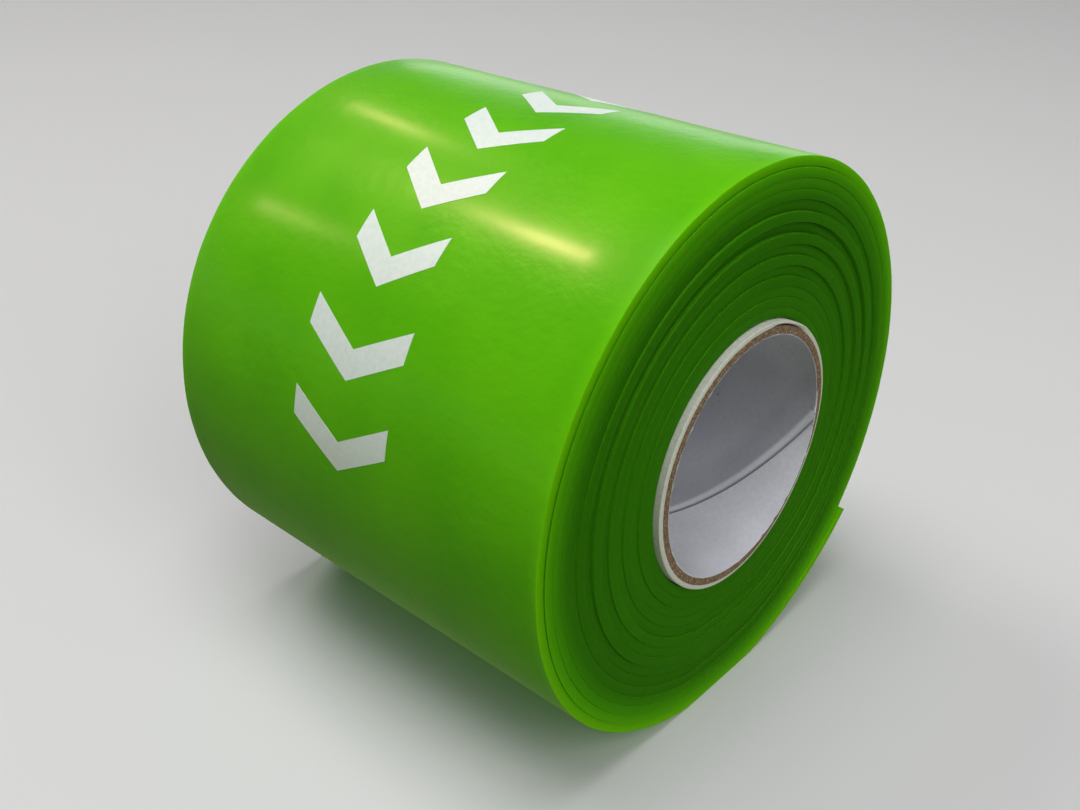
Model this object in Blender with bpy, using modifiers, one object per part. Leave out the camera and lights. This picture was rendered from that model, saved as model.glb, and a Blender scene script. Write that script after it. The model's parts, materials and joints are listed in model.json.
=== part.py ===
"""Flat latex resistance band wound in a roll on a paper core, lying on its side.

The roll's axis is along X and the roll rests on Z = 0. The band winds outwards as its direction turns
from +Y to +Z. It is one strip, divided at each turn. The free end leaves the roll just past the line where
the roll rests, and is divided into short segments that hinge on each other, so that it can be peeled off and
laid flat. The core pushes out along X.
"""
import math

import bmesh
import bpy
from mathutils import Matrix, Vector

MM = 0.001
RIGHT_ANGLE = math.radians(90.0)

# Band
BAND_WIDTH = 50.8 * MM
BAND_THICKNESS = 0.93 * MM
TURN_PITCH = 1.01 * MM
TURNS = 15
BAND_INNER_RADIUS = 14.3 * MM

# Free end
TIP_ANGLE = 322.0
TAIL_SEGMENTS = 4
TAIL_STEPS = 2
TIP_LIFT = 1.1 * MM
DIVIDING_GAP = 0.3 * MM

# Core, from its bore outwards
CORE_LENGTH = 52.4 * MM
LINER_RADII = (12.7 * MM, 12.85 * MM)
BOARD_RADII = (12.9 * MM, 13.55 * MM)
WRAP_RADII = (13.6 * MM, 14.1 * MM)

# Directions round the axis are in degrees, from +Y towards +Z
FULL_TURN = 360.0
LEFT = 180.0
DOWN = 270.0
STEPS_PER_TURN = 48
STEP = FULL_TURN / STEPS_PER_TURN

# The outer turn is flat for three facets, where the roll rests
FLAT_HALF_ANGLE = 1.5 * STEP
WINDING_END = DOWN + FLAT_HALF_ANGLE
BAND_START = TIP_ANGLE - TURNS * FULL_TURN

FIRST_CORNER = STEP / 2
MERGE_DISTANCE = 0.001 * MM


def outer_radius(angle):
    """Radius of the band's outer side, at an angle counted on through all its turns."""
    return BAND_INNER_RADIUS + BAND_THICKNESS + TURN_PITCH * (angle - BAND_START) / FULL_TURN


AXIS_HEIGHT = outer_radius(WINDING_END) * math.cos(math.radians(FLAT_HALF_ANGLE))
AXIS_SIDE = (outer_radius(LEFT) - outer_radius(0.0)) / 2
AXIS = Vector((0.0, AXIS_SIDE, AXIS_HEIGHT))


def settled(radius, angle):
    """Radius once the roll has settled on its flat: the outer turn moves in most, the core not at all."""
    from_down = (angle - DOWN + LEFT) % FULL_TURN - LEFT
    if abs(from_down) > FLAT_HALF_ANGLE + STEP / 2:
        return radius
    outermost = outer_radius(DOWN + from_down)
    flat = AXIS_HEIGHT / math.cos(math.radians(from_down))
    share = (radius - BAND_INNER_RADIUS) / (outermost - BAND_INNER_RADIUS)
    return radius - share * (outermost - flat)


def around(radius, angle):
    """Point at a radius and a direction, from the roll's axis."""
    turn = math.radians(angle)
    return Vector((0.0, radius * math.cos(turn), radius * math.sin(turn)))


def evenly(first, last, steps):
    """Angles from the first to the last in equal steps."""
    return [first + (last - first) * i / steps for i in range(steps + 1)]


def gap_angle(angle):
    """Angle that the gap between two divided stretches of the band takes up."""
    return math.degrees(DIVIDING_GAP / outer_radius(angle))


def tail_radius(angle):
    """Radius of the free end's outer side, which lifts off the roll towards its tip."""
    share = (angle - WINDING_END) / (TIP_ANGLE - WINDING_END)
    return outer_radius(angle) + TIP_LIFT * share ** 2


def tail_span(index):
    """First and last angle of a tail segment, which starts after its hinge's gap."""
    whole = (TIP_ANGLE - WINDING_END) / TAIL_SEGMENTS
    start = WINDING_END + index * whole
    return start + gap_angle(start), start + whole


def hinge_point(index):
    """Place of a tail segment's hinge: before its start, in the middle of the band's thickness."""
    first = tail_span(index)[0]
    angle = first - gap_angle(first) / 2
    return AXIS + around(tail_radius(angle) - BAND_THICKNESS / 2, angle)


def material(name, colour, roughness):
    """Principled material of one colour and roughness."""
    made = bpy.data.materials.new(name)
    made.use_nodes = True
    shader = made.node_tree.nodes["Principled BSDF"]
    shader.inputs["Base Color"].default_value = (*colour, 1.0)
    shader.inputs["Roughness"].default_value = roughness
    shader.inputs["Metallic"].default_value = 0.0
    return made


def add_object(name, data, finish, collection, joint):
    """Object in the collection, under the empty that stands on its joint."""
    piece = bpy.data.objects.new(name, data)
    collection.objects.link(piece)
    piece.parent = joint
    data.materials.append(finish)
    return piece


def add_joint(name, place, collection, parent=None):
    """Empty on a joint's axis, which its pieces hang from."""
    joint = bpy.data.objects.new(name, None)
    collection.objects.link(joint)
    joint.empty_display_size = BAND_THICKNESS
    joint.location = place
    if parent is not None:
        joint.parent = parent
        joint.location = place - parent.matrix_world.translation
    bpy.context.view_layer.update()
    return joint


def add_strip(name, outline, finish, collection, joint):
    """Stretch of the band: a ribbon along its outer side, thickened towards the roll's axis."""
    centre = joint.matrix_world.translation
    curve = bpy.data.curves.new(name, "CURVE")
    curve.dimensions = "2D"
    curve.fill_mode = "NONE"
    curve.extrude = BAND_WIDTH / 2
    spline = curve.splines.new("POLY")
    spline.points.add(len(outline) - 1)
    for point, place in zip(spline.points, outline):
        _, side, height = place - centre
        point.co = (side, height, 0.0, 1.0)
    strip = add_object(name, curve, finish, collection, joint)
    strip.rotation_euler = (RIGHT_ANGLE, 0.0, RIGHT_ANGLE)
    solid = strip.modifiers.new("thickness", "SOLIDIFY")
    solid.thickness = BAND_THICKNESS
    solid.offset = 1.0
    solid.use_even_offset = True


def add_tube(name, radii, finish, collection, joint):
    """Paper tube, turned about the roll's axis from its rectangular section."""
    inner, outer = radii
    half = CORE_LENGTH / 2
    corners = [(outer, half), (outer, -half), (inner, -half), (inner, half)]
    section = bmesh.new()
    points = [section.verts.new((radius, 0.0, along)) for radius, along in corners]
    for start, end in zip(points, points[1:] + points[:1]):
        section.edges.new((start, end))
    bmesh.ops.rotate(
        section,
        verts=section.verts,
        cent=(0.0, 0.0, 0.0),
        matrix=Matrix.Rotation(math.radians(FIRST_CORNER), 3, "Z"),
    )
    mesh = bpy.data.meshes.new(name)
    section.to_mesh(mesh)
    section.free()
    tube = add_object(name, mesh, finish, collection, joint)
    tube.rotation_euler = (0.0, RIGHT_ANGLE, 0.0)
    turned = tube.modifiers.new("turned", "SCREW")
    turned.axis = "Z"
    turned.steps = STEPS_PER_TURN
    turned.render_steps = STEPS_PER_TURN
    turned.use_merge_vertices = True
    turned.merge_threshold = MERGE_DISTANCE


def add_turn(number, finish, collection, joint):
    """One turn of the wound band. The last one ends just past the flat, and the first one is cut short."""
    last = WINDING_END - (TURNS - number) * FULL_TURN
    first = max(last - FULL_TURN + gap_angle(last), BAND_START)
    corners = [last - STEP * i for i in range(STEPS_PER_TURN) if last - STEP * i > first + STEP / 2]
    outline = [AXIS + around(settled(outer_radius(a), a), a) for a in [first] + corners[::-1]]
    add_strip(f"band_turn_{number:02d}", outline, finish, collection, joint)


def add_tail(finish, collection, parent):
    """The free end's segments, each hinged on the one before it."""
    for index in range(TAIL_SEGMENTS):
        number = index + 1
        joint = add_joint(f"tail_hinge_{number}", hinge_point(index), collection, parent)
        outline = [AXIS + around(tail_radius(a), a) for a in evenly(*tail_span(index), TAIL_STEPS)]
        add_strip(f"band_tail_{number}", outline, finish, collection, joint)
        parent = joint


def add_core(collection, joint):
    """The paper tube's three layers."""
    add_tube("core_liner", LINER_RADII, material("grey_liner_paper", (0.33, 0.33, 0.36), 0.7), collection, joint)
    add_tube("core_board", BOARD_RADII, material("brown_chipboard", (0.12, 0.07, 0.045), 0.9), collection, joint)
    add_tube("core_wrap", WRAP_RADII, material("white_wrap_paper", (0.62, 0.62, 0.58), 0.8), collection, joint)


def main():
    for old in list(bpy.data.objects):
        bpy.data.objects.remove(old, do_unlink=True)
    collection = bpy.data.collections.new("resistance_band")
    bpy.context.scene.collection.children.link(collection)
    latex = material("green_latex", (0.10, 0.42, 0.01), 0.45)
    roll = add_joint("roll_axis", AXIS, collection)
    core = add_joint("core_slide", AXIS, collection, roll)
    for number in range(1, TURNS + 1):
        add_turn(number, latex, collection, roll)
    add_tail(latex, collection, roll)
    add_core(collection, core)


main()
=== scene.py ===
import json
import math

import bpy
import numpy as np
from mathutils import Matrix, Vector


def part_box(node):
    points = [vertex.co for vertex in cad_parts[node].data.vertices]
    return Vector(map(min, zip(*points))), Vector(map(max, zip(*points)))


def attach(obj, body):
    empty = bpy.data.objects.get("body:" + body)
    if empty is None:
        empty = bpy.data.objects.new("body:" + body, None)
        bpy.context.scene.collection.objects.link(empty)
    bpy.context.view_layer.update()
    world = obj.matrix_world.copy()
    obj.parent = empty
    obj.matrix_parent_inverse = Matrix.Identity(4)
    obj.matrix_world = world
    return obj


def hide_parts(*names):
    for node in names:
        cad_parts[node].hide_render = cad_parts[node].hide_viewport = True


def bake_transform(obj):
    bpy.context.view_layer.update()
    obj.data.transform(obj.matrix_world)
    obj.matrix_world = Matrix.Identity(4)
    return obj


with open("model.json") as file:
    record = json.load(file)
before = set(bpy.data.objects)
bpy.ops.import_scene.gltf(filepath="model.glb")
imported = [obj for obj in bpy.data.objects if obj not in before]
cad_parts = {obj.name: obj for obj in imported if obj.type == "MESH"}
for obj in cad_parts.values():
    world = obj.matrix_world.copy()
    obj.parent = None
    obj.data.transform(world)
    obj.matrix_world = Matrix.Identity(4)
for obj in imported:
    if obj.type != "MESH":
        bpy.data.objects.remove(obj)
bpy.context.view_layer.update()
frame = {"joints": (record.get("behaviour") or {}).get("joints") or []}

MM = 0.001
TAU = math.tau

# The band, the same strip as in the frame
BAND_PITCH = 1.01 * MM
BAND_OUTER_START = 15.23 * MM
BAND_THICKNESS = 0.998 * MM
BAND_INNER_RADIUS = BAND_OUTER_START - BAND_THICKNESS
BAND_TURNS = 15
# Directions round the roll's axis are 0 towards +Y and 90 degrees up. The free end leaves the roll at the
# winding's end, and its tip stands a little off the turn below.
TIP_ANGLE = 322.0
TIP_LIFT = 1.1 * MM
WINDING_END = 281.25
DOWN = math.radians(270.0)
BAND_START = math.radians(TIP_ANGLE) - BAND_TURNS * TAU
# The roll has settled flat within this angle of straight down, and the turns above give way up to that one
FLAT_HALF_ANGLE = math.radians(11.25)
SETTLED_WITHIN = 1.2
SETTLE_ROUNDING = 0.15 * MM
EDGE_ROUNDING = 0.04 * MM
# The share of a turn in which the band steps over its inner end, and the turns in which that step dies out
STEP_SHARE = 0.07
STEP_FADES_OVER = 11.0
# Turns that were wound a little proud: turn, how far in mm, over how many turns
PROUD_TURNS = ((9.1, 0.30, 0.9), (6.9, 0.20, 1.2), (4.2, 0.12, 1.6))
# Spacing of the rows along and across the strip
WINDING_STEP = 1.0 * MM
TAIL_STEP = 0.4 * MM
WIDTH_ROWS = 7
# The free end's first length starts this angle before its hinge
TAIL_LEAD = 0.075

low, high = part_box("band_turn_15")
BAND_WIDTH = high.x - low.x
core_low, core_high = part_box("core_board")
CORE_HALF_LENGTH = core_high.x
AXIS_Y = (core_low.y + core_high.y) / 2
AXIS_Z = (core_low.z + core_high.z) / 2

# Core layers, from the bore outwards
BORE_RADIUS = 12.62 * MM
LINER_THICKNESS = 0.12 * MM
BOARD_RADII = (12.84 * MM, 13.62 * MM)
WRAP_RADII = (13.63 * MM, 14.12 * MM)
# The core's near end is worn lower round this direction, and its wrap is torn round that one, in degrees
WORN_SIDE = 324.0
TEAR = 66.0
# The liner is one paper strip wound as a helix, so its seam runs at a slant from end to end
LINER_LEAD = 48.5 * MM
LINER_OVERLAP = 2.2 * MM
LINER_TURNS = 2.4
LINER_LIP = 0.7 * MM
LINER_SEAM_AT_END = math.radians(-5.9)
LINER_CUT_BACK = 0.05 * MM

MID_RADIUS = BAND_INNER_RADIUS + BAND_THICKNESS / 2
GROWTH = BAND_PITCH / TAU
HALF_THICK = BAND_THICKNESS / 2
SMOOTH_UP_TO = math.radians(40.0)

# Print: a row of chevrons along the middle of the band, each group led by two large ones
INK_THICKNESS = 0.04 * MM
INK_SINK = 0.02 * MM
STROKE = 3.0 * MM
MARK_POINT = 3.6 * MM
PRINT_FIRST_DIRECTION = 173.0
PRINTED_SHARE_OF_TURN = 0.985
MARKS_IN_GROUP = 9
LARGE_MARKS = 2
GROUP_GAP = 14.0 * MM
# Height across the band, and distance to the next mark
LARGE_MARK = (13.0 * MM, 9.0 * MM)
SMALL_MARK = (10.5 * MM, 8.2 * MM)

LENS = 40.3
SENSOR = 36.0
CAMERA_PLACE = (78.3 * MM, -87.6 * MM, 94.0 * MM)
CAMERA_LOOK = Vector((-0.5806, 0.6402, -0.5030))

NEUTRAL = "#FFFFFF"
WARM = "#FFCC98"


# ---------------------------------------------------------------- the band's shape


def angle_at(length):
    """Angle turned from the band's inner end, at a length along the band."""
    return (np.sqrt(MID_RADIUS ** 2 + 2 * GROWTH * length) - MID_RADIUS) / GROWTH


def length_at(angle):
    """Length along the band at an angle turned from its inner end."""
    return MID_RADIUS * angle + GROWTH * angle ** 2 / 2


WINDING_ANGLE = math.radians(WINDING_END) - BAND_START
TIP_TURNED = BAND_TURNS * TAU


def bell(value, centre, width):
    """1 at the centre, falling smoothly towards 0 past the width."""
    return np.exp(-(((value - centre) / width) ** 2))


def wander(turned):
    """How far the band's edges stand off their mean place: every second turn was wound a little proud."""
    turns = turned / TAU
    proud = sum(height * bell(turns, at, spread) for at, height, spread in PROUD_TURNS)
    alternate = np.cos(math.pi * (turns - 9.3)) * proud
    drift = 0.07 * np.sin(turns * 1.1 + 0.6) + 0.02 * np.sin(turns * 3.3 + 2.0)
    outside = 0.05 * np.cos(math.pi * (turns - 13.4)) * bell(turns, 13.6, 0.7)
    return (alternate + drift + outside) * MM


def ripple(turned, across):
    """Slow unevenness of the rubber under winding tension, a few hundredths of a millimetre."""
    outer = np.clip(turned / TAU - BAND_TURNS + 2.0, 0.0, 1.0)
    outer *= 1.0 - bell((turned + BAND_START - DOWN + math.pi) % TAU - math.pi, 0.0, 0.5)
    wave = 0.030 * np.sin(3.0 * turned + across * 95.0) + 0.022 * np.sin(7.0 * turned - across * 160.0)
    fine = 0.008 * np.sin(23.2 * turned + across * 410.0)
    return outer * (wave + fine) * MM


def since_inner_end(turned):
    """How much of a turn has passed since the band's inner end, back to 0 where the band steps over it."""
    share = turned / TAU % 1.0
    return np.where(share < 1.0 - STEP_SHARE, share, (1.0 - STEP_SHARE) * (1.0 - share) / STEP_SHARE)


def roll_up(points):
    """Flat strip points (length, across, height over the middle of the thickness) wound into the roll."""
    length, across, height = points.T
    turned = angle_at(length)
    direction = turned + BAND_START
    share = np.clip((turned - WINDING_ANGLE) / (TIP_TURNED - WINDING_ANGLE), 0.0, 1.0)
    # The first turn lies on the core all round and then steps over the band's inner end. The turns above it
    # take the same step, each a little more gently.
    fade = np.clip(1.0 - turned / TAU / STEP_FADES_OVER, 0.0, 1.0)
    passed = since_inner_end(turned) * (fade > 0)
    radius = MID_RADIUS + GROWTH * turned + TIP_LIFT * share ** 2 + ripple(turned, across)
    radius += height * (1.0 + passed / STEP_FADES_OVER) - BAND_PITCH * passed * fade
    from_down = (direction - DOWN + math.pi) % TAU - math.pi
    outermost = BAND_OUTER_START + GROWTH * (WINDING_ANGLE + from_down - FLAT_HALF_ANGLE)
    over_floor = AXIS_Z - outermost * np.cos(from_down)
    settled = (over_floor + np.sqrt(over_floor ** 2 + SETTLE_ROUNDING ** 2)) / 2
    depth = np.clip((radius - BAND_INNER_RADIUS) / (outermost - BAND_INNER_RADIUS), 0.0, 1.0)
    rise = depth * (settled - over_floor) * (np.abs(from_down) < SETTLED_WITHIN)
    x = across + wander(turned)
    y = AXIS_Y + radius * np.cos(direction)
    z = AXIS_Z + radius * np.sin(direction) + rise
    return np.stack([x, y, z], axis=1)


# ---------------------------------------------------------------- modelling by hand


def only(piece):
    """Makes one piece the selected and active object."""
    bpy.ops.object.select_all(action="DESELECT")
    piece.select_set(True)
    bpy.context.view_layer.objects.active = piece


def start(name, operator, **options):
    """Adds a primitive with nothing else selected, and names it."""
    bpy.ops.object.select_all(action="DESELECT")
    operator(**options)
    piece = bpy.context.object
    piece.name = name
    piece.data.name = name
    return piece


def set_size(piece, size):
    """Scales a piece and puts its place, turn and size into its mesh."""
    piece.scale = size
    only(piece)
    bpy.ops.object.transform_apply(location=True, rotation=True, scale=True)


def points_of(piece):
    """A piece's points as an array with a row each."""
    co = np.zeros(len(piece.data.vertices) * 3)
    piece.data.vertices.foreach_get("co", co)
    return co.reshape(-1, 3)


def move_points(piece, points):
    """Puts a piece's points at new places."""
    piece.data.vertices.foreach_set("co", np.ascontiguousarray(points, dtype=np.float32).ravel())
    piece.data.update()


def choose_faces(piece, test):
    """In edit mode, selects the faces whose centre and normal pass a test."""
    bpy.ops.object.mode_set(mode="OBJECT")
    for item in (*piece.data.vertices, *piece.data.edges):
        item.select = False
    for face in piece.data.polygons:
        face.select = bool(test(face.center, face.normal))
    bpy.context.tool_settings.mesh_select_mode = (False, False, True)
    bpy.ops.object.mode_set(mode="EDIT")


def choose_edges(piece, test):
    """In edit mode, selects the edges whose two ends pass a test."""
    bpy.ops.object.mode_set(mode="OBJECT")
    points = piece.data.vertices
    for item in (*points, *piece.data.polygons):
        item.select = False
    for edge in piece.data.edges:
        a, b = edge.vertices
        edge.select = bool(test(points[a].co, points[b].co))
    bpy.context.tool_settings.mesh_select_mode = (False, True, False)
    bpy.ops.object.mode_set(mode="EDIT")


def runs_along(axis):
    """Test for edges that run along one axis."""
    others = [i for i in range(3) if i != axis]
    return lambda a, b: all(abs(a[i] - b[i]) < 1e-7 for i in others)


def finish_shape(piece):
    """Merges doubles, turns all faces outwards and shades them smooth up to an angle."""
    only(piece)
    bpy.ops.object.mode_set(mode="EDIT")
    bpy.ops.mesh.select_all(action="SELECT")
    bpy.ops.mesh.remove_doubles(threshold=1e-7)
    bpy.ops.mesh.normals_make_consistent(inside=False)
    bpy.ops.object.mode_set(mode="OBJECT")
    bpy.ops.object.shade_smooth_by_angle(angle=SMOOTH_UP_TO)


def repeat_along(piece, step, count):
    """Repeats an open section along X and joins the copies."""
    array = piece.modifiers.new("repeat", "ARRAY")
    array.count = count
    array.use_relative_offset = False
    array.use_constant_offset = True
    array.constant_offset_displace = (step, 0.0, 0.0)
    array.use_merge_vertices = True
    array.merge_threshold = step * 0.02
    only(piece)
    bpy.ops.object.modifier_apply(modifier=array.name)


def flat_strip(name, first, last, step):
    """The band lying flat from one length to another, with rounded edges and closed ends."""
    count = max(2, round((last - first) / step))
    step = (last - first) / count
    middle = (first + step / 2, 0.0, 0.0)
    piece = start(name, bpy.ops.mesh.primitive_cube_add, size=1.0, location=middle)
    set_size(piece, (step, BAND_WIDTH, BAND_THICKNESS))
    choose_edges(piece, runs_along(0))
    bpy.ops.mesh.bevel(offset=EDGE_ROUNDING, segments=3, affect="EDGES")
    choose_edges(piece, lambda a, b: runs_along(1)(a, b) and abs(a.y - b.y) > BAND_WIDTH / 2)
    bpy.ops.mesh.subdivide(number_cuts=WIDTH_ROWS)
    choose_faces(piece, lambda centre, normal: abs(normal.x) > 0.9)
    bpy.ops.mesh.delete(type="FACE")
    bpy.ops.object.mode_set(mode="OBJECT")
    repeat_along(piece, step, count)
    bpy.ops.object.mode_set(mode="EDIT")
    bpy.ops.mesh.select_all(action="SELECT")
    bpy.ops.mesh.fill_holes(sides=0)
    bpy.ops.object.mode_set(mode="OBJECT")
    return piece


def mark_edges_and_turns(piece):
    """Gives the two long cut edges the second material, and each point the turn that it is on."""
    for face in piece.data.polygons:
        face.material_index = int(abs(face.center.y) > BAND_WIDTH / 2 - 0.8 * EDGE_ROUNDING)
    turns = piece.data.attributes.new("turn", "FLOAT", "POINT")
    turns.data.foreach_set("value", (angle_at(points_of(piece)[:, 0]) / TAU).astype(np.float32))


def wound_strip(name, first, last, step, finishes):
    """A stretch of the band, wound, with its sheet and cut-edge materials."""
    piece = flat_strip(name, first, last, step)
    for finish in finishes:
        piece.data.materials.append(finish)
    mark_edges_and_turns(piece)
    move_points(piece, roll_up(points_of(piece)))
    finish_shape(piece)
    return piece


# ---------------------------------------------------------------- materials


def linear(hex_colour):
    """An sRGB hex colour as linear red, green, blue and alpha."""
    parts = [int(hex_colour[i : i + 2], 16) / 255 for i in (1, 3, 5)]
    return (*[p / 12.92 if p <= 0.04045 else ((p + 0.055) / 1.055) ** 2.4 for p in parts], 1.0)


def node(tree, kind, inputs=None, stops=(), **settings):
    """Adds a node with its settings, its inputs as values or as links from other sockets, and a ramp's stops,
    each a place with a hex colour or a grey level."""
    made = tree.nodes.new(kind)
    for key, value in settings.items():
        setattr(made, key, value)
    for key, value in (inputs or {}).items():
        if isinstance(value, bpy.types.NodeSocket):
            tree.links.new(value, made.inputs[key])
        else:
            made.inputs[key].default_value = value
    if stops:
        elements = made.color_ramp.elements
        while len(elements) < len(stops):
            elements.new(0.5)
        for element, (place, colour) in zip(elements, stops):
            element.position = place
            element.color = linear(colour) if isinstance(colour, str) else (colour, colour, colour, 1.0)
    return made


def new_material(name):
    """An empty material with its shader and output joined."""
    made = bpy.data.materials.new(name)
    made.use_nodes = True
    made.node_tree.nodes.clear()
    shader = node(made.node_tree, "ShaderNodeBsdfPrincipled")
    node(made.node_tree, "ShaderNodeOutputMaterial", {"Surface": shader.outputs[0]})
    return made, made.node_tree, shader


def latex_grain(tree, shader, place, smoothest, roughest):
    """The matt grain left by the release powder, 0.2 mm and drawn at about twice its real size, over the
    slight orange peel of the rolls that pressed the sheet, 1.2 mm apart."""
    grain = node(
        tree, "ShaderNodeTexNoise",
        {"Vector": place, "Scale": 1 / (0.2 * MM), "Detail": 2.0, "Roughness": 0.7},
    ).outputs["Fac"]
    shine = node(
        tree, "ShaderNodeMapRange",
        {"Value": grain, "From Min": 0.3, "From Max": 0.7, "To Min": smoothest, "To Max": roughest},
    )
    tree.links.new(shine.outputs["Result"], shader.inputs["Roughness"])
    peel = node(
        tree, "ShaderNodeTexNoise", {"Vector": place, "Scale": 1 / (1.2 * MM), "Detail": 1.0}
    ).outputs["Fac"]
    wavy = node(tree, "ShaderNodeBump", {"Height": peel, "Strength": 1.0, "Distance": 0.05 * MM})
    bump = node(
        tree, "ShaderNodeBump",
        {"Height": grain, "Strength": 0.45, "Distance": 0.04 * MM, "Normal": wavy.outputs["Normal"]},
    )
    tree.links.new(bump.outputs["Normal"], shader.inputs["Normal"])


def see_through(shader, weight):
    """Light wanders about a millimetre inside green latex, and red and blue die out first."""
    shader.inputs["Subsurface Weight"].default_value = weight
    shader.inputs["Subsurface Radius"].default_value = (0.5, 1.0, 0.1)
    shader.inputs["Subsurface Scale"].default_value = 1.0 * MM
    shader.inputs["IOR"].default_value = 1.52


def latex_sheet():
    """Calendered natural latex, dyed green: satin, slightly see-through, with cloudy dye and a fine grain."""
    made, tree, shader = new_material("green_latex_sheet")
    place = node(tree, "ShaderNodeTexCoord").outputs["Object"]
    cloud = node(
        tree, "ShaderNodeTexNoise", {"Vector": place, "Scale": 1 / (9 * MM), "Detail": 2.0}
    ).outputs["Fac"]
    face = node(
        tree, "ShaderNodeValToRGB", {"Fac": cloud}, stops=[(0.3, "#55B004"), (0.7, "#61BA08")]
    ).outputs["Color"]
    # Painted shade: only the outermost turn is in full light, so the other turns' sheet, where it shows at
    # their edges, is painted a darker green
    turn = node(tree, "ShaderNodeAttribute", attribute_name="turn").outputs["Fac"]
    outermost = node(
        tree, "ShaderNodeMapRange",
        {"Value": turn, "From Min": BAND_TURNS - 1.3, "From Max": BAND_TURNS - 1.1},
    ).outputs["Result"]
    # Painted light: the sheet is painted brighter close to the cut edges, as a glow for the light that has
    # come in through them and leaves close to them
    along = node(tree, "ShaderNodeSeparateXYZ", {0: place}).outputs["X"]
    from_middle = node(tree, "ShaderNodeMath", {0: along}, operation="ABSOLUTE").outputs[0]
    near_edge = node(
        tree, "ShaderNodeMapRange",
        {"Value": from_middle, "From Min": BAND_WIDTH / 2 - 1.3 * MM, "From Max": BAND_WIDTH / 2},
    ).outputs["Result"]
    painted_edge_glow = node(
        tree, "ShaderNodeMix", {0: near_edge, 6: face, 7: linear("#64BE08")}, data_type="RGBA"
    ).outputs[2]
    colour = node(
        tree, "ShaderNodeMix", {0: outermost, 6: linear("#3E860C"), 7: painted_edge_glow}, data_type="RGBA"
    ).outputs[2]
    tree.links.new(colour, shader.inputs["Base Color"])
    latex_grain(tree, shader, place, 0.28, 0.42)
    see_through(shader, 0.3)
    shader.inputs["Specular IOR Level"].default_value = 0.14
    shader.inputs["Specular Tint"].default_value = linear("#E4F4B0")
    shader.inputs["Coat Weight"].default_value = 0.20
    shader.inputs["Coat Roughness"].default_value = 0.20
    return made


def latex_cut_edge():
    """The slit edges of the latex: matt and deep green in the wound roll, with a painted glow that makes
    them brighter in the outer turns, for the light that comes in through the sheet."""
    made, tree, shader = new_material("green_latex_cut_edge")
    place = node(tree, "ShaderNodeTexCoord").outputs["Object"]
    centred = node(
        tree, "ShaderNodeMapping", {"Vector": place, "Location": (0.0, -AXIS_Y, -AXIS_Z)}
    ).outputs[0]
    across = node(
        tree, "ShaderNodeVectorMath", {0: centred, 1: (0.0, 1.0, 1.0)}, operation="MULTIPLY"
    ).outputs["Vector"]
    radius = node(tree, "ShaderNodeVectorMath", {0: across}, operation="LENGTH").outputs["Value"]
    outward = node(
        tree, "ShaderNodeMapRange",
        {"Value": radius, "From Min": BAND_INNER_RADIUS, "From Max": 30.0 * MM},
    ).outputs["Result"]
    # Deep green inside, and painted light towards the outermost turn: a glow painted brighter there
    depth = node(
        tree, "ShaderNodeValToRGB", {"Fac": outward},
        stops=[(0.0, "#2F7305"), (0.74, "#2D6E04"), (0.86, "#408E04"), (0.93, "#50A203"), (1.0, "#66B404")],
    ).outputs["Color"]
    # Each turn's edge is dyed and cut a little differently
    turn = node(tree, "ShaderNodeAttribute", attribute_name="turn").outputs["Fac"]
    by_turn = node(
        tree, "ShaderNodeTexNoise", {"W": turn, "Scale": 1.7, "Detail": 2.0}, noise_dimensions="1D"
    ).outputs["Fac"]
    shade = node(
        tree, "ShaderNodeValToRGB", {"Fac": by_turn}, stops=[(0.3, 0.86), (0.7, 1.0)]
    ).outputs["Color"]
    colour = node(
        tree, "ShaderNodeMix", {0: 1.0, 6: depth, 7: shade}, data_type="RGBA", blend_type="MULTIPLY"
    ).outputs[2]
    tree.links.new(colour, shader.inputs["Base Color"])
    latex_grain(tree, shader, place, 0.45, 0.6)
    see_through(shader, 0.5)
    shader.inputs["Specular IOR Level"].default_value = 0.04
    shader.inputs["Specular Tint"].default_value = linear("#A0D84C")
    return made


def white_ink():
    """Screen-printed white rubber ink: matt, a little thin, so the green comes through."""
    made, tree, shader = new_material("white_screen_ink")
    place = node(tree, "ShaderNodeTexCoord").outputs["Object"]
    thin = node(
        tree, "ShaderNodeTexNoise", {"Vector": place, "Scale": 1 / (0.5 * MM), "Detail": 3.0}
    ).outputs["Fac"]
    colour = node(
        tree, "ShaderNodeValToRGB", {"Fac": thin}, stops=[(0.25, "#D3E2D6"), (0.75, "#E4EAE6")]
    ).outputs["Color"]
    tree.links.new(colour, shader.inputs["Base Color"])
    shader.inputs["Roughness"].default_value = 0.5
    return made


def dress(piece, material):
    """Gives a piece its one material."""
    piece.data.materials.clear()
    piece.data.materials.append(material)


# ---------------------------------------------------------------- the band and its print


def band_joint(name):
    """The frame's joint of that name."""
    return next(j for j in frame["joints"] if j["name"] == name)


HINGES = [
    Vector(band_joint(name)["pos_m"]) for name in ("tail_peel", "tail_bend_2", "tail_bend_3", "tail_bend_4")
]


def turned_at(point):
    """Angle turned from the band's inner end, for a point on its last turn."""
    return math.atan2(point.z - AXIS_Z, point.y - AXIS_Y) % TAU - BAND_START


def make_band():
    """The wound turns as one strip, and the free end as four lengths, each round one of its hinges."""
    finishes = (latex_sheet(), latex_cut_edge())
    hinge_angles = [turned_at(h) for h in HINGES]
    first_cut = hinge_angles[0] - TAIL_LEAD
    middles = [(a + b) / 2 for a, b in zip(hinge_angles, hinge_angles[1:])]
    cuts = [float(length_at(a)) for a in (first_cut, *middles, TIP_TURNED)]
    winding = wound_strip("band_roll", 0.0, cuts[0], WINDING_STEP, finishes)
    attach(winding, "roll")
    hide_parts(*[f"band_turn_{i:02d}" for i in range(1, BAND_TURNS + 1)])
    for i, (first, last) in enumerate(zip(cuts, cuts[1:])):
        tail = wound_strip(f"band_free_end_{i + 1}", first, last, TAIL_STEP, finishes)
        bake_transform(tail)
        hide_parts(f"band_tail_{i + 1}")


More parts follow.
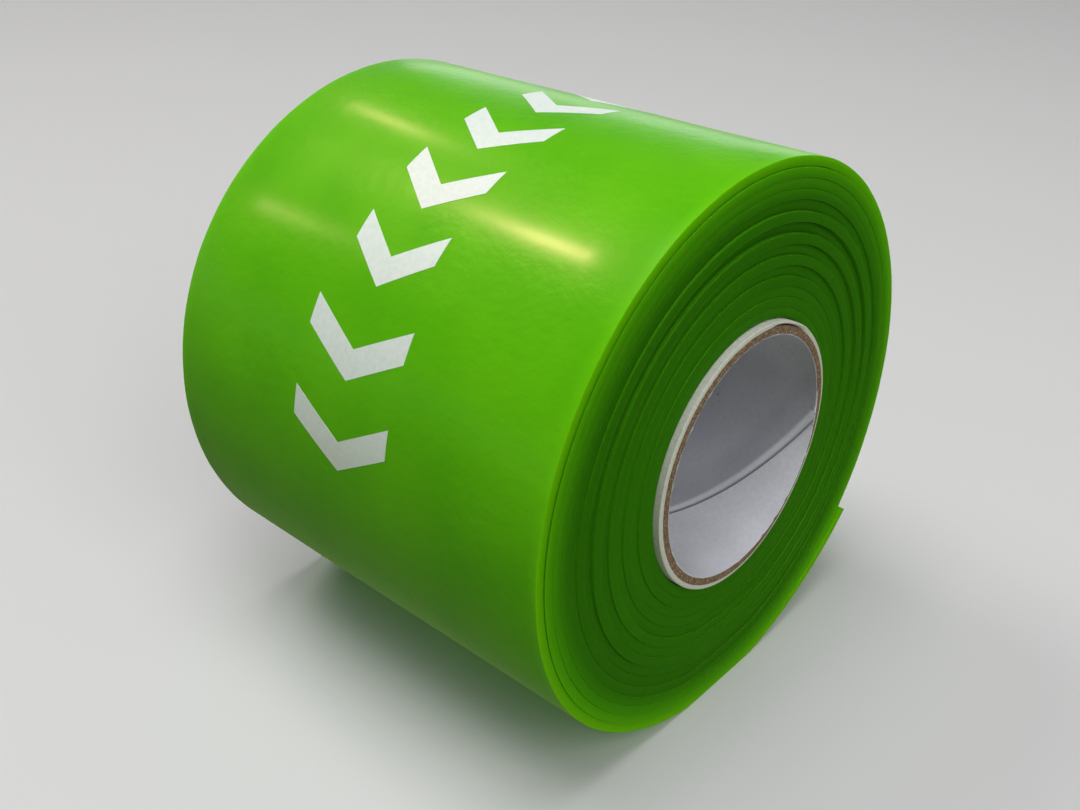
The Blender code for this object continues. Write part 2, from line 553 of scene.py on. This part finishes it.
def chevron(name, at, height):
    """One printed chevron, wound with the band, pointing along it."""
    piece = start(name, bpy.ops.mesh.primitive_grid_add, x_subdivisions=4, y_subdivisions=16, size=1.0)
    set_size(piece, (STROKE, height, 1.0))
    flat = points_of(piece)
    flat[:, 0] += MARK_POINT * (1 - 2 * np.abs(flat[:, 1]) / height) + at
    flat[:, 2] = HALF_THICK + INK_THICKNESS - INK_SINK
    move_points(piece, flat)
    thick = piece.modifiers.new("ink", "SOLIDIFY")
    thick.thickness = INK_THICKNESS
    thick.offset = -1.0
    only(piece)
    bpy.ops.object.modifier_apply(modifier=thick.name)
    move_points(piece, roll_up(points_of(piece)))
    return piece


def make_print(ink):
    """The row of chevrons on the outermost turn, from the first one back to just past the free end."""
    last_turn = (BAND_TURNS - 1) * TAU + math.radians(PRINT_FIRST_DIRECTION - TIP_ANGLE + 360.0)
    at = float(length_at(last_turn)) - STROKE
    earliest = float(length_at(TIP_TURNED - TAU * PRINTED_SHARE_OF_TURN))
    marks = []
    count = 0
    while at > earliest:
        height, step = LARGE_MARK if count % MARKS_IN_GROUP < LARGE_MARKS else SMALL_MARK
        marks.append(chevron(f"mark_{count}", at, height))
        count += 1
        at -= step + (GROUP_GAP if count % MARKS_IN_GROUP == 0 else 0.0)
    bpy.ops.object.select_all(action="DESELECT")
    for mark in marks:
        mark.select_set(True)
    bpy.context.view_layer.objects.active = marks[0]
    bpy.ops.object.join()
    printed = bpy.context.object
    printed.name = "printed_chevrons"
    finish_shape(printed)
    dress(printed, ink)
    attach(printed, "roll")


# ---------------------------------------------------------------- the core


def around_axis(points):
    """Points as X, direction in radians and radius about the roll's axis."""
    y, z = points[:, 1] - AXIS_Y, points[:, 2] - AXIS_Z
    return points[:, 0], np.arctan2(z, y), np.hypot(y, z)


def from_axis(x, direction, radius):
    """Points from their X, direction and radius about the roll's axis."""
    y = AXIS_Y + radius * np.cos(direction)
    z = AXIS_Z + radius * np.sin(direction)
    return np.stack([x, y, z], axis=1)


def arc(direction, centre, half_width):
    """1 at a direction given in degrees, falling smoothly to 0 a half width away."""
    apart = (direction - math.radians(centre) + math.pi) % TAU - math.pi
    share = np.clip(1.0 - np.abs(apart) / math.radians(half_width), 0.0, 1.0)
    return share * share * (3 - 2 * share)


def rough(direction, radius, seed):
    """Unevenness of a sawn paper edge, from -1 to 1: waves of many lengths, the same each run."""
    total = np.zeros_like(direction)
    for k in (5, 13, 31, 67, 131, 173):
        total += np.sin(k * direction + seed * k * 1.7 + radius / MM * (2.0 + 0.21 * k)) / math.sqrt(k)
    return total


def tube(name, radii, around, rings):
    """A tube along the roll's axis: a cylinder whose ends are inset in rings and bridged through."""
    inner, outer = radii
    piece = start(
        name, bpy.ops.mesh.primitive_cylinder_add,
        vertices=around, radius=outer, depth=2 * CORE_HALF_LENGTH, end_fill_type="NGON",
        rotation=(0.0, math.radians(90.0), 0.0), location=(0.0, AXIS_Y, AXIS_Z),
    )
    set_size(piece, (1.0, 1.0, 1.0))

    def middle_face(centre, normal):
        return abs(normal.x) > 0.9 and math.hypot(centre.y - AXIS_Y, centre.z - AXIS_Z) < inner / 2

    for _ in range(rings):
        choose_faces(piece, middle_face)
        bpy.ops.mesh.inset(thickness=(outer - inner) / rings, use_individual=True)
    choose_faces(piece, middle_face)
    bpy.ops.mesh.bridge_edge_loops()
    bpy.ops.object.mode_set(mode="OBJECT")
    return piece


def make_board():
    """The chipboard tube, with both sawn ends fuzzy and uneven."""
    board = tube("core_board_tube", BOARD_RADII, around=540, rings=5)
    x, direction, radius = around_axis(points_of(board))
    share = (radius - BOARD_RADII[0]) / (BOARD_RADII[1] - BOARD_RADII[0])
    crown = np.sin(math.pi * np.clip(share, 0.0, 1.0))
    fuzz = 0.05 * MM * rough(direction, radius, np.sign(x)) * crown
    dip = 0.25 * MM * arc(direction, WORN_SIDE, 60.0) * (x > 0)
    move_points(board, from_axis(x - np.sign(x) * (0.04 * MM + dip) + fuzz, direction, radius))
    finish_shape(board)
    return board


def make_wrap():
    """The white paper plies round the board. They stand a little lower on one side, and have sprung from the
    board along a short tear at the top."""
    wrap = tube("core_wrap_paper", WRAP_RADII, around=360, rings=4)
    x, direction, radius = around_axis(points_of(wrap))
    share = (radius - WRAP_RADII[0]) / (WRAP_RADII[1] - WRAP_RADII[0])
    end = np.sign(x)
    shown = x > 0
    soft = 0.10 * MM * np.clip(share - 0.75, 0.0, 1.0) * 4
    lower = (0.06 + 0.30 * arc(direction, WORN_SIDE, 75.0) * shown) * MM
    tear = arc(direction, TEAR, 17.0) * shown
    torn = 0.75 * MM * tear * np.clip(1.0 - share * 2.2, 0.0, 1.0)
    flap = 0.16 * MM * arc(direction, TEAR - 11.0, 9.0) * shown * np.clip(share, 0.0, 1.0)
    uneven = 0.015 * MM * rough(direction, radius, 3.0)
    move_points(wrap, from_axis(x - end * (soft + lower + torn - flap) + uneven, direction, radius))
    finish_shape(wrap)
    return wrap


def make_liner():
    """The bore's paper: a strip wound as a helix, whose last edge lies over the first with a small lip."""
    piece = start(
        "core_liner_paper", bpy.ops.mesh.primitive_grid_add,
        x_subdivisions=52, y_subdivisions=480, size=1.0,
    )
    flat = points_of(piece)
    share = flat[:, 0] + 0.5
    wound = flat[:, 1] * LINER_TURNS * TAU
    width = LINER_LEAD + LINER_OVERLAP
    # More rows near the lip, where the paper steps over the turn below
    share = 1.0 - (1.0 - share) ** 1.6
    over = np.clip((share * width - LINER_LEAD + 1.3 * LINER_OVERLAP) / (1.2 * LINER_OVERLAP), 0.0, 1.0)
    over = over * over * (3 - 2 * over)
    lip = np.clip((share * width - (width - LINER_LIP)) / LINER_LIP, 0.0, 1.0)
    radius = BORE_RADIUS + LINER_THICKNESS * (1.15 - 1.15 * over - 0.7 * lip ** 2)
    at = CORE_HALF_LENGTH + LINER_LEAD * (wound - LINER_SEAM_AT_END) / TAU - (1.0 - share) * width
    move_points(piece, from_axis(at, wound, radius))
    across = piece.data.attributes.new("across", "FLOAT", "POINT")
    across.data.foreach_set("value", share.astype(np.float32))
    # Both ends are cut off square before the sheet gets its thickness
    only(piece)
    for end in (-1.0, 1.0):
        bpy.ops.object.mode_set(mode="EDIT")
        bpy.ops.mesh.select_all(action="SELECT")
        bpy.ops.mesh.bisect(
            plane_co=(end * (CORE_HALF_LENGTH - LINER_CUT_BACK), 0.0, 0.0), plane_no=(end, 0.0, 0.0),
            use_fill=False, clear_outer=True, clear_inner=False,
        )
        bpy.ops.object.mode_set(mode="OBJECT")
    thick = piece.modifiers.new("paper", "SOLIDIFY")
    thick.thickness = LINER_THICKNESS
    bpy.ops.object.modifier_apply(modifier=thick.name)
    finish_shape(piece)
    return piece


def paper(name, colours, fibre, roughness, bump_height):
    """Paper or board: matt, with fibres of a given size."""
    made, tree, shader = new_material(name)
    place = node(tree, "ShaderNodeTexCoord").outputs["Object"]
    fibres = node(
        tree, "ShaderNodeTexNoise", {"Vector": place, "Scale": 1 / fibre, "Detail": 5.0, "Roughness": 0.7}
    ).outputs["Fac"]
    places = np.linspace(0.32, 0.68, len(colours))
    base = node(
        tree, "ShaderNodeValToRGB", {"Fac": fibres}, stops=list(zip(places.tolist(), colours))
    ).outputs["Color"]
    bump = node(tree, "ShaderNodeBump", {"Height": fibres, "Strength": 0.7, "Distance": bump_height})
    tree.links.new(bump.outputs["Normal"], shader.inputs["Normal"])
    tree.links.new(base, shader.inputs["Base Color"])
    shader.inputs["Roughness"].default_value = roughness
    shader.inputs["Specular IOR Level"].default_value = 0.25
    return made, tree, shader, place, base


def liner_paper():
    """Calendered grey liner paper: smooth, painted darker towards the lapped edge as painted shade, with a
    painted highlight on the raised cut lip and a thin dark line at its very edge, faint handling smudges and
    a few specks of 0.4 mm."""
    made, tree, shader, place, base = paper(
        "grey_liner_paper", ("#DCDDE4", "#E8E9F0"), 0.5 * MM, 0.7, 0.006 * MM
    )
    across = node(tree, "ShaderNodeAttribute", attribute_name="across").outputs["Fac"]
    # Painted shade and light: darker towards the lapped edge, with a painted highlight on the raised lip and
    # a thin dark line at the lip's very edge
    lap = node(
        tree, "ShaderNodeValToRGB", {"Fac": across},
        stops=[
            (0.0, "#FFFFFF"), (0.35, "#F0F0F2"), (0.90, "#CBCBCE"), (0.975, "#C2C2C6"),
            (0.982, "#FFFFFF"), (0.992, "#FFFFFF"), (1.0, "#8C8C92"),
        ],
    ).outputs["Color"]
    clouds = node(
        tree, "ShaderNodeTexNoise", {"Vector": place, "Scale": 1 / (7 * MM), "Detail": 1.0}
    ).outputs["Fac"]
    cloudy = node(
        tree, "ShaderNodeValToRGB", {"Fac": clouds}, stops=[(0.35, 0.90), (0.65, 1.0)]
    ).outputs["Color"]
    clouded = node(
        tree, "ShaderNodeMix", {0: 1.0, 6: base, 7: cloudy}, data_type="RGBA", blend_type="MULTIPLY"
    ).outputs[2]
    lapped = node(
        tree, "ShaderNodeMix", {0: 1.0, 6: clouded, 7: lap}, data_type="RGBA", blend_type="MULTIPLY"
    ).outputs[2]
    patches = node(tree, "ShaderNodeTexNoise", {"Vector": place, "Scale": 1 / (6 * MM)}).outputs["Fac"]
    patchy = node(
        tree, "ShaderNodeValToRGB", {"Fac": patches}, stops=[(0.54, 0.0), (0.62, 0.8)]
    ).outputs["Color"]
    specks = node(
        tree, "ShaderNodeTexNoise", {"Vector": place, "Scale": 1 / (0.4 * MM), "Detail": 1.0}
    ).outputs["Fac"]
    speckled = node(
        tree, "ShaderNodeValToRGB", {"Fac": specks}, stops=[(0.60, 0.0), (0.70, 1.0)]
    ).outputs["Color"]
    smudge = node(
        tree, "ShaderNodeMix", {0: 1.0, 6: patchy, 7: speckled}, data_type="RGBA", blend_type="MULTIPLY"
    ).outputs[2]
    # Only the upper wall was handled
    height = node(tree, "ShaderNodeSeparateXYZ", {0: place}).outputs["Z"]
    handled = node(
        tree, "ShaderNodeMapRange",
        {"Value": height, "From Min": AXIS_Z - 5 * MM, "From Max": AXIS_Z - 2 * MM},
    ).outputs["Result"]
    smudge = node(
        tree, "ShaderNodeMix", {0: 1.0, 6: smudge, 7: handled}, data_type="RGBA", blend_type="MULTIPLY"
    ).outputs[2]
    colour = node(
        tree, "ShaderNodeMix", {0: smudge, 6: lapped, 7: linear("#76777F")}, data_type="RGBA"
    ).outputs[2]
    tree.links.new(colour, shader.inputs["Base Color"])
    return made


def make_core():
    """The core's three papers, which all ride on the core."""
    board_paper = paper(
        "brown_chipboard", ("#2E2219", "#6E5845", "#8B7259", "#C9B79E"), 0.16 * MM, 0.95, 0.10 * MM
    )[0]
    wrap_paper = paper("white_wrap_paper", ("#BCBEB2", "#D4D5CB"), 0.3 * MM, 0.85, 0.02 * MM)[0]
    for piece, material, slot, cad in (
        (make_liner(), liner_paper(), "liner_paper", "core_liner"),
        (make_board(), board_paper, "chipboard", "core_board"),
        (make_wrap(), wrap_paper, "wrap_paper", "core_wrap"),
    ):
        dress(piece, material)
        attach(piece, "core")
        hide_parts(cad)


# ---------------------------------------------------------------- floor, light and camera


def make_stage():
    """A plain pale floor."""
    floor = start("floor", bpy.ops.mesh.primitive_plane_add, size=3.0, location=(0.0, 0.0, 0.0))
    made, tree, shader = new_material("plain_white_floor")
    shader.inputs["Base Color"].default_value = linear("#D0D0D0")
    shader.inputs["Roughness"].default_value = 0.9
    floor.data.materials.append(made)
    # The room below the horizon and the lamp under the floor light the roll from underneath, in the floor's
    # place and more dimly than so pale a floor would
    floor.visible_diffuse = False
    floor.visible_glossy = False
    floor.visible_shadow = False


def add_light(name, place, target, size, power, colour):
    """A rectangular lamp at a place, facing a target."""
    data = bpy.data.lights.new(name, "AREA")
    data.shape = "RECTANGLE"
    data.size, data.size_y = size
    data.energy = power
    data.color = linear(colour)[:3]
    lamp = bpy.data.objects.new(name, data)
    bpy.context.scene.collection.objects.link(lamp)
    lamp.location = place
    lamp.rotation_euler = (Vector(target) - Vector(place)).to_track_quat("-Z", "Y").to_euler()
    return lamp


def make_light():
    """A dim room with four softboxes, a lamp under the floor for its bounce, and three ceiling lamps."""
    world = bpy.data.worlds.new("studio")
    world.use_nodes = True
    tree = world.node_tree
    direction = node(tree, "ShaderNodeTexCoord").outputs["Generated"]
    upward = node(tree, "ShaderNodeSeparateXYZ", {0: direction}).outputs["Z"]
    room = node(
        tree, "ShaderNodeValToRGB", {"Fac": upward},
        stops=[(0.0, "#747C5C"), (0.04, "#B4B4B4"), (0.25, "#595959")],
    ).outputs["Color"]
    # The dim room only lights the roll: past the floor's edge a pale backdrop is seen
    seen = node(tree, "ShaderNodeLightPath").outputs["Is Camera Ray"]
    backdrop = node(
        tree, "ShaderNodeMix", {0: seen, 6: room, 7: linear("#C4C4C4")}, data_type="RGBA"
    ).outputs[2]
    tree.links.new(backdrop, tree.nodes["Background"].inputs["Color"])
    bpy.context.scene.world = world
    middle = Vector((0.0, AXIS_Y, AXIS_Z))
    # Name, direction from the roll, distance, size, watts, colour
    lamps = (
        ("key_softbox", (0.05, -0.12, 0.99), 0.75, (0.45, 0.45), 3.3, NEUTRAL),
        ("front_softbox", (0.72, -0.25, 0.65), 0.7, (0.45, 0.45), 2.0, NEUTRAL),
        ("floor_bounce", (0.80, -0.05, -0.60), 0.5, (0.3, 0.3), 0.42, NEUTRAL),
        ("back_softbox", (-0.55, 0.83, 0.10), 0.9, (0.5, 0.2), 0.45, NEUTRAL),
        ("side_softbox", (-0.62, -0.12, 0.76), 0.8, (0.4, 0.4), 2.0, NEUTRAL),
        ("ceiling_lamp_1", (-0.72, 0.29, 0.63), 0.8, (0.03, 0.03), 0.36, WARM),
        ("ceiling_lamp_2", (-0.76, -0.37, 0.53), 0.8, (0.05, 0.03), 0.36, WARM),
        ("ceiling_lamp_3", (-0.58, -0.11, 0.81), 0.8, (0.03, 0.03), 2.00, WARM),
    )
    for name, direction, distance, size, power, colour in lamps:
        place = middle + Vector(direction).normalized() * distance
        lamp = add_light(name, place, middle, size, power, colour)
        # The side softbox lights without a reflection, and the small lamps are only seen as reflections
        lamp.visible_glossy = name != "side_softbox"
        lamp.visible_diffuse = colour != WARM


def make_camera():
    """The camera, at the roll's upper near side."""
    data = bpy.data.cameras.new("camera")
    data.lens = LENS
    data.sensor_width = SENSOR
    data.clip_start = 0.005
    camera = bpy.data.objects.new("camera", data)
    bpy.context.scene.collection.objects.link(camera)
    camera.location = CAMERA_PLACE
    camera.rotation_euler = CAMERA_LOOK.to_track_quat("-Z", "Y").to_euler()
    bpy.context.scene.camera = camera


make_camera()
make_light()
make_stage()
make_band()
make_print(white_ink())
make_core()
bpy.context.scene.view_settings.view_transform = "Standard"
